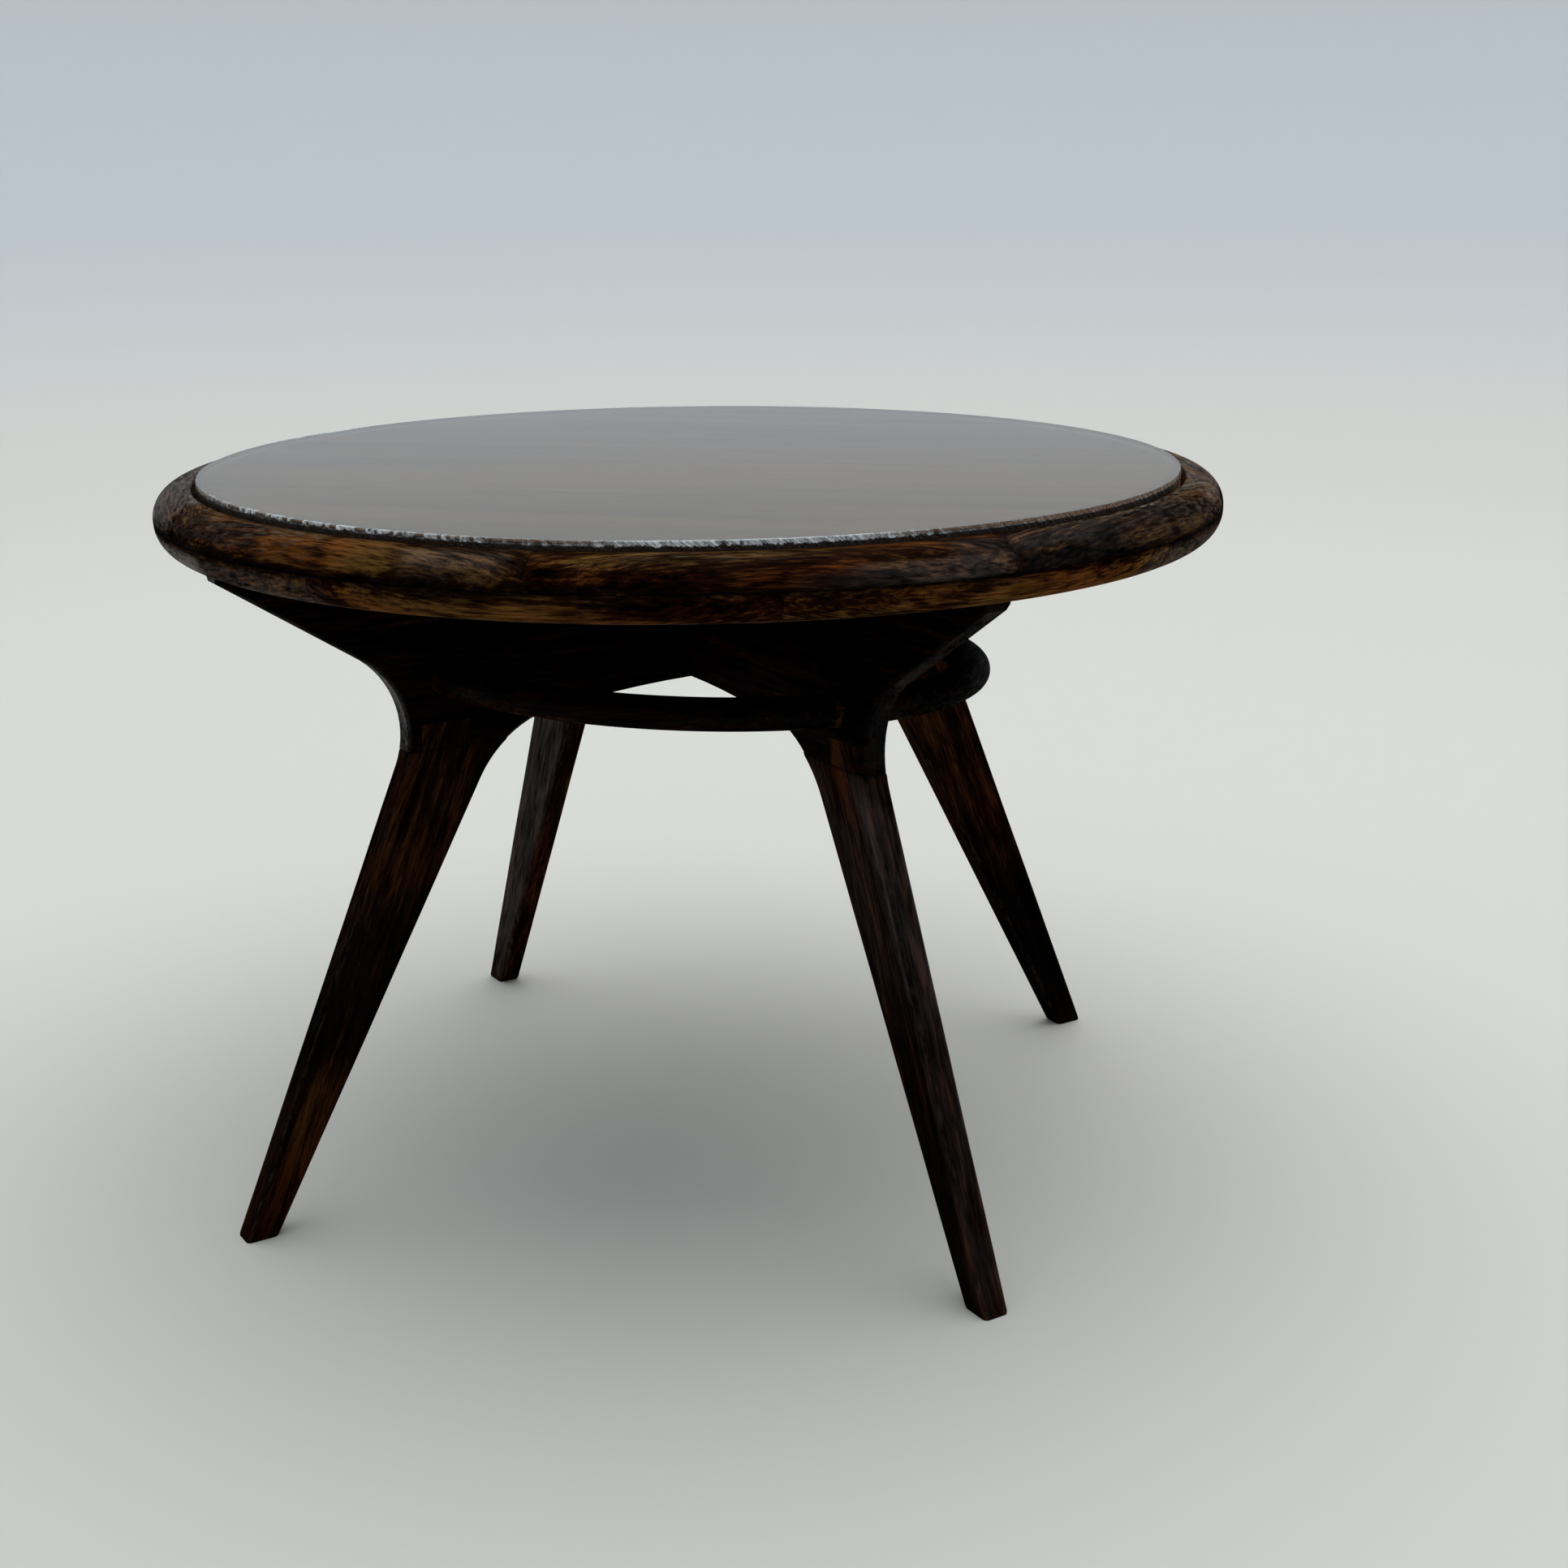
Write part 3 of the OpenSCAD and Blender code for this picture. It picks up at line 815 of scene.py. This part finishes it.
def ring_skin(sizes, turn, seed, steps=120):
    """A quarter of the ring: a section that is half round outside, carried round the arc until
    it meets the faces of the two rails, so that each of its points turns through its own angle,
    and lowered in proportion to how far it lies towards the back right leg."""
    outer, inner = sizes.ring_radius, sizes.ring_radius - sizes.ring_width
    top = sizes.ring_thickness / 2
    nose = top - LEAST_FLAT
    outline, edge = round_outline(
        [(inner, -top), (outer, -top), (outer, top), (inner, top)],
        [RING_ROUND, nose, nose, RING_ROUND], arc_steps=12, side_step=0.25 * MM,
    )
    rail_face = sizes.stock / 2 + OPEN_SHARE * sizes.glue_line
    reach = math.pi / 4 - np.arcsin(rail_face / outline[:, 0])
    angle = turn + np.linspace(-1, 1, steps)[:, None] * reach
    stray = RING_WAVE * (waves(angle, seed, count=20) - 1) / 2
    stray = stray * (outline[:, 0] - inner) / (outer - inner)
    out, _ = turned(angle)
    rings = (outline[:, 0] + stray)[..., None] * out
    low_side, _ = turned(np.array(LEG_TURNS["back_right"]))
    rings[..., 2] = sizes.ring_height + outline[:, 1] - sizes.ring_dip * (rings @ low_side)
    along, across = np.array(turned(np.array(turn)))[::-1]
    shape = rings.shape[:2]
    ends = (1 - np.abs(np.linspace(-1, 1, steps))) * outer
    glue = 0.35 * between(ends, 0.2 * MM, 2 * MM, 0.8 * MM)[:, None]
    # Painted floor light: the lower half of the ring is lighter along the front and left
    lit = between(np.degrees(angle), -175, -92, 12) * np.clip(-outline[:, 1] / top, 0, 1)
    layers = {
        "grain": wood_place(rings, along, across, seed),
        "edge": np.broadcast_to(edge, shape),
        "dirt": np.broadcast_to(np.exp(-ends / RING_DIRT)[:, None], shape),
        "tone": glue + 0.22 * lit - 0.06,
        "satin": np.full(shape, 0.04),
    }
    return band(rings, layers)


def disc_skin(sizes, steps=3600):
    """The clear disc: rings from the middle of the face, over the sawn edge, to the middle of the
    underside. The edge stands back by seeded teeth of the saw, which lean with the depth, and its
    upper arris by chips. Where the saw tore, the upper part of the edge is frosted down to a ragged
    line; elsewhere only two thin lines are. Under them the front of the edge is dull and dark with
    painted shade."""
    draw = np.random.RandomState(SAW_SEED)
    angle = np.linspace(0, 2 * np.pi, steps, endpoint=False)
    teeth = draw.uniform(0, 1, steps)
    teeth = (teeth + np.roll(teeth, 1)) / 2
    coarse = np.repeat(draw.uniform(0, 1, steps // 5), 5)
    degrees = (np.degrees(angle) + 180) % 360 - 180
    torn = between(degrees, *EDGE_TORN) * np.clip(0.8 + 0.5 * waves(angle, 5, 40), 0, 1)
    torn = torn + 0.85 * between(degrees, *EDGE_DASHED) * (coarse > 0.45)
    torn = np.clip(torn + between(waves(angle, 6, 12), 0.25, 2, 0.1) * (coarse > 0.5), 0, 1)
    saw = sizes.saw_depth * (0.5 * teeth + 0.5 * coarse)
    chips = sizes.chip_depth * torn * (coarse * teeth) ** 2
    full, top, bottom = sizes.disc_radius, sizes.disc_high, sizes.disc_low - DISC_SINK
    depths = np.array(EDGE_DEPTHS) * MM
    lean = np.stack([np.roll(saw, round(depth / MM * 20)) for depth in depths])
    near_face = np.exp(-depths / (0.1 * MM))[:, None]
    edge_out = full - lean * (1 - 0.4 * near_face) - (chips + 0.04 * MM) * near_face
    ragged = 0.34 + 0.14 * (coarse - 0.5) + 0.14 * (teeth - 0.5)
    ragged = (ragged - 0.12 * between(degrees, *EDGE_THIN)) * MM
    strong = np.clip((ragged - depths[:, None]) / FROST_SOFT, 0, 1)
    thin = sum(np.exp(-((depths - line) / FROST_SOFT) ** 2) for line in FROST_LINES)[:, None]
    frosted = torn * strong + (1 - torn) * thin * (0.25 + 0.35 * coarse)
    flats = np.array([0.02 * full, 0.5 * full, full - 0.9 * MM])[:, None] + 0 * angle
    out = np.concatenate([flats, edge_out, flats[::-1]])
    up = np.concatenate([[top] * 3, top - depths, [bottom] * 3])
    sawn = np.concatenate([0 * flats, np.clip(frosted, 0, 1), 0 * flats])
    below = (0.3 - 0.18 * between(degrees, *EDGE_DEEP_SHADE)) * MM
    shaded = np.clip((depths[:, None] - below) / (0.06 * MM), 0, 1)
    shaded = between(degrees, *EDGE_SHADED) * shaded
    shaded = np.concatenate([0 * flats, shaded, 0 * flats])
    radial, _ = turned(angle)
    rings = out[..., None] * radial
    rings[..., 2] = up[:, None]
    return band(rings, {"sawn": sawn, "shaded": shaded})


def clear_sheet(finish):
    """Clear sheet with polished faces that carry faint scratches and smears, and a frosted edge
    where it was sawn. Rays from lamps go straight through, so that what lies under it is lit."""
    shader = Shader("clear_sheet")
    place = shader.node("ShaderNodeTexCoord", out="Object")
    smear = shader.rise(shader.noise(place, (30.0, 160.0, 30.0), 6.0, 0.7, 1.2), 0.52, 0.66)
    scratch = shader.rise(shader.noise(place, (60.0, 1800.0, 60.0), 2.0, 0.5, 0.2), 0.7, 0.76)
    clear = shader.node(
        "ShaderNodeBsdfPrincipled", {},
        {"Base Color": (*finish.clear_tint, 1.0), "Roughness": 0.03 + smear * 0.03 + scratch * 0.06,
         "IOR": 1.49, "Transmission Weight": 1.0},
    )
    open_way = shader.node("ShaderNodeBsdfTransparent", {}, {0: (*finish.clear_tint, 1.0)})
    from_lamp = shader.node("ShaderNodeLightPath", out="Is Shadow Ray")
    clear = shader.node("ShaderNodeMixShader", {}, {0: from_lamp, 1: clear, 2: open_way})
    grit = shader.noise(place, (1900.0, 1900.0, 900.0), 3.0, 0.7)
    sawn = piece_mask(shader, "sawn")
    # The frost's colour runs from the edge tint, a painted shade, to the sawn white
    white = shader.blend(
        shader.rise(grit, 0.3, 0.5) * sawn, finish.edge_tint, finish.sawn_tint
    )
    frost = shader.node(
        "ShaderNodeBsdfPrincipled", {},
        {"Base Color": white, "Roughness": 0.5, "IOR": 1.49, "Specular IOR Level": 0.1},
    )
    # The shaded mask is painted shade low on the edge, drawn as the dark dull frost
    shaded = piece_mask(shader, "shaded")
    dull = shader.node("ShaderNodeMath", {"operation": "MAXIMUM"}, {0: sawn, 1: shaded})
    share = dull * 0.92 + smear * 0.03
    surface = shader.node("ShaderNodeMixShader", {}, {0: share, 1: clear, 2: frost})
    return shader.finish(surface)


def leg_tints(finish):
    """The four tints of legs, rails and ring, from dark to worn."""
    return finish.leg_dark, finish.leg_mid, finish.leg_light, finish.leg_worn


class TABLE_OT_rim(bpy.types.Operator):
    """Makes the sixteen rim segments, with the lower joints half a segment round"""

    bl_idname = "round_table.rim"
    bl_label = "Rim"

    def execute(self, context):
        sizes, finish = context.scene.table_sizes, context.scene.table_finish
        tints = finish.rim_dark, finish.rim_mid, finish.rim_light, finish.rim_worn_and_sheen
        wood = stained_wood(
            "rim_wood", tints, piece_grain, piece_satin, lift=-0.02, fleck=1.0, worn_and_sheen_share=0.85
        )
        sweep = 2 * math.pi / SEGMENTS
        tones = np.random.RandomState(TONE_SEED).uniform(-TONE_SPREAD, TONE_SPREAD, (2, SEGMENTS))
        for i in range(SEGMENTS):
            for layer, where in enumerate(("upper", "lower")):
                start = FIRST_JOINT + (i + layer / 2) * sweep
                seed = RIM_SEED + 2 * i + layer
                skin = rim_segment(sizes, start, where, seed, tones[layer, i])
                made = new_piece("%s_rim_segment_%d" % (where, i + 1), [skin], wood)
                seat(made, "rim_%s_%d" % (where, i + 1), "table")
        return {"FINISHED"}


class TABLE_OT_legs(bpy.types.Operator):
    """Makes the four tapered legs with their tongues"""

    bl_idname = "round_table.legs"
    bl_label = "Legs"

    def execute(self, context):
        sizes, finish = context.scene.table_sizes, context.scene.table_finish
        wood = stained_wood("leg_wood", leg_tints(finish), piece_grain, piece_satin)
        for i, (name, turn) in enumerate(LEG_TURNS.items()):
            skins = leg_skins(sizes, turn, LEG_SEED + 10 * i, LEG_PATCHES[name])
            made = new_piece(name + "_leg", skins, wood)
            seat(made, "leg_" + name, "table")
        return {"FINISHED"}


class TABLE_OT_ring(bpy.types.Operator):
    """Makes the four arcs of the ring stretcher"""

    bl_idname = "round_table.ring"
    bl_label = "Ring"

    def execute(self, context):
        sizes, finish = context.scene.table_sizes, context.scene.table_finish
        wood = stained_wood("ring_wood", leg_tints(finish), piece_grain, piece_satin, lift=-0.14)
        for i, (name, turn) in enumerate(RING_TURNS.items()):
            made = new_piece("ring_arc_" + name, [ring_skin(sizes, turn, RING_SEED + i)], wood)
            seat(made, "ring_" + name, "table")
        return {"FINISHED"}


class TABLE_OT_rails(bpy.types.Operator):
    """Stains the two cross rails, each along its own grain, and the panel over them"""

    bl_idname = "round_table.rails"
    bl_label = "Rails and panel"

    def execute(self, context):
        sizes, finish = context.scene.table_sizes, context.scene.table_finish
        woods = {"top_panel": panel_brown(finish)}
        for i, (node, (turn, satin)) in enumerate(RAILS.items()):
            woods[node] = stained_wood(
                node + "_wood", leg_tints(finish),
                lambda s: frame_grain(s, turn, (170.0 * i, 55.0, 20.0)),
                lambda s: edge_faces(s, turn, sizes.stock / 2 / MM) * satin + 0.02,
                lift=-0.2, masks=False,
            )
        for node, wood in woods.items():
            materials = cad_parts[node].data.materials
            materials.clear()
            materials.append(wood)
        return {"FINISHED"}


class TABLE_OT_clear_disc(bpy.types.Operator):
    """Makes the loose clear disc with its sawn edge"""

    bl_idname = "round_table.clear_disc"
    bl_label = "Clear disc"

    def execute(self, context):
        sheet = clear_sheet(context.scene.table_finish)
        skin = disc_skin(context.scene.table_sizes)
        made = new_piece("clear_disc", [skin], sheet, smooth=False)
        seat(made, "clear_top", "disc")
        return {"FINISHED"}


class TABLE_OT_stage(bpy.types.Operator):
    """Makes the pale sweep, the soft light and the camera"""

    bl_idname = "round_table.stage"
    bl_label = "Stage"

    def execute(self, context):
        stage = context.scene.table_stage
        self.sweep(stage)
        self.light(context.scene, stage)
        self.camera(context.scene, stage)
        context.scene.view_settings.view_transform = "Standard"
        return {"FINISHED"}

    def sweep(self, stage):
        """A flat floor that curves up into a wall all round: a line, a quarter circle and a line,
        turned about the axis."""
        bend = np.linspace(0, np.pi / 2, 24)
        start, radius = stage.sweep_start, stage.sweep_radius
        out = np.concatenate([[0.001, start / 2], start + radius * np.sin(bend), [start + radius]])
        up = np.concatenate([[0, 0], radius * (1 - np.cos(bend)), [stage.wall_height]])
        angle = np.linspace(0, 2 * np.pi, 96, endpoint=False)
        radial, _ = turned(angle)
        rings = out[:, None, None] * radial
        rings[..., 2] = up[:, None]
        mesh = bpy.data.meshes.new("sweep")
        faces = quads_between(len(out), len(angle)).tolist() + [list(range(len(angle)))[::-1]]
        mesh.from_pydata(rings.reshape(-1, 3), [], faces)
        mesh.shade_smooth()
        shader = Shader("sweep")
        place = shader.node("ShaderNodeTexCoord", out="Object")
        height = shader.node("ShaderNodeSeparateXYZ", {}, {0: place}, out="Z")
        back = shader.node("ShaderNodeSeparateXYZ", {}, {0: place}, out="Y")
        upper = shader.rise(height, *WALL_TO_UPPER)
        wall = shader.blend(upper, stage.wall_tint, stage.upper_tint)
        wall = shader.blend(shader.rise(back, *NEAR_TO_FAR), stage.near_tint, wall)
        tint = shader.blend(shader.rise(height, *FLOOR_TO_WALL), stage.floor_tint, wall)
        mesh.materials.append(shader.finish(shader.node(
            "ShaderNodeBsdfPrincipled", {},
            {"Base Color": tint, "Roughness": 0.7, "Specular IOR Level": 0.2},
        )))
        made = bpy.data.objects.new("sweep", mesh)
        bpy.context.scene.collection.objects.link(made)

    def light(self, scene, stage):
        """Even light from all round and one large soft lamp overhead, a little behind."""
        world = bpy.data.worlds.new("studio")
        world.use_nodes = True
        sky = world.node_tree.nodes["Background"]
        sky.inputs["Color"].default_value = (*stage.sky_tint, 1.0)
        sky.inputs["Strength"].default_value = stage.sky_strength
        scene.world = world
        lamp = bpy.data.lights.new("overhead", "AREA")
        lamp.size = stage.lamp_size
        lamp.energy = stage.lamp_power
        lamp.color = stage.lamp_tint
        made = bpy.data.objects.new("overhead", lamp)
        made.location = LAMP_PLACE
        made.rotation_euler = LAMP_TURN
        scene.collection.objects.link(made)

    def camera(self, scene, stage):
        """Camera axes: right and ahead from turn and pitch, up across both, then the roll."""
        lens = bpy.data.cameras.new("camera")
        lens.lens, lens.sensor_width = stage.lens, 36.0
        lens.clip_start = 0.01
        made = bpy.data.objects.new("camera", lens)
        right, level = turned(np.array(stage.turn))
        ahead = math.cos(stage.pitch) * level - math.sin(stage.pitch) * np.array([0, 0, 1])
        up = np.cross(right, ahead)
        cos, sin = math.cos(stage.roll), math.sin(stage.roll)
        right, up = cos * right + sin * up, cos * up - sin * right
        matrix = Matrix.Identity(4)
        for row in range(3):
            matrix[row] = (right[row], up[row], -ahead[row], stage.eye[row])
        made.matrix_world = matrix
        scene.collection.objects.link(made)
        scene.camera = made


OPERATORS = (
    TABLE_OT_stage, TABLE_OT_rim, TABLE_OT_legs, TABLE_OT_ring, TABLE_OT_rails, TABLE_OT_clear_disc,
)


class TABLE_PT_panel(bpy.types.Panel):
    """Lists the operators and the sizes, colours and stage that they use"""

    bl_idname = "TABLE_PT_panel"
    bl_label = "Miniature Round Table"
    bl_space_type = "VIEW_3D"
    bl_region_type = "UI"
    bl_category = "Table"

    def draw(self, context):
        for operator in OPERATORS:
            self.layout.operator(operator.bl_idname)
        for group in GROUPS:
            for name in GROUPS[group].__annotations__:
                self.layout.prop(getattr(context.scene, group), name)


GROUPS = {"table_sizes": TableSizes, "table_finish": TableFinish, "table_stage": TableStage}
CLASSES = (*GROUPS.values(), *OPERATORS, TABLE_PT_panel)


def register():
    for cls in CLASSES:
        bpy.utils.register_class(cls)
    for name, group in GROUPS.items():
        setattr(bpy.types.Scene, name, PointerProperty(type=group))


def unregister():
    for name in GROUPS:
        delattr(bpy.types.Scene, name)
    for cls in reversed(CLASSES):
        bpy.utils.unregister_class(cls)


def main():
    """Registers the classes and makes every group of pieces."""
    register()
    bpy.ops.round_table.stage()
    bpy.ops.round_table.rim()
    bpy.ops.round_table.legs()
    bpy.ops.round_table.ring()
    bpy.ops.round_table.rails()
    bpy.ops.round_table.clear_disc()


if __name__ == "__main__":
    main()
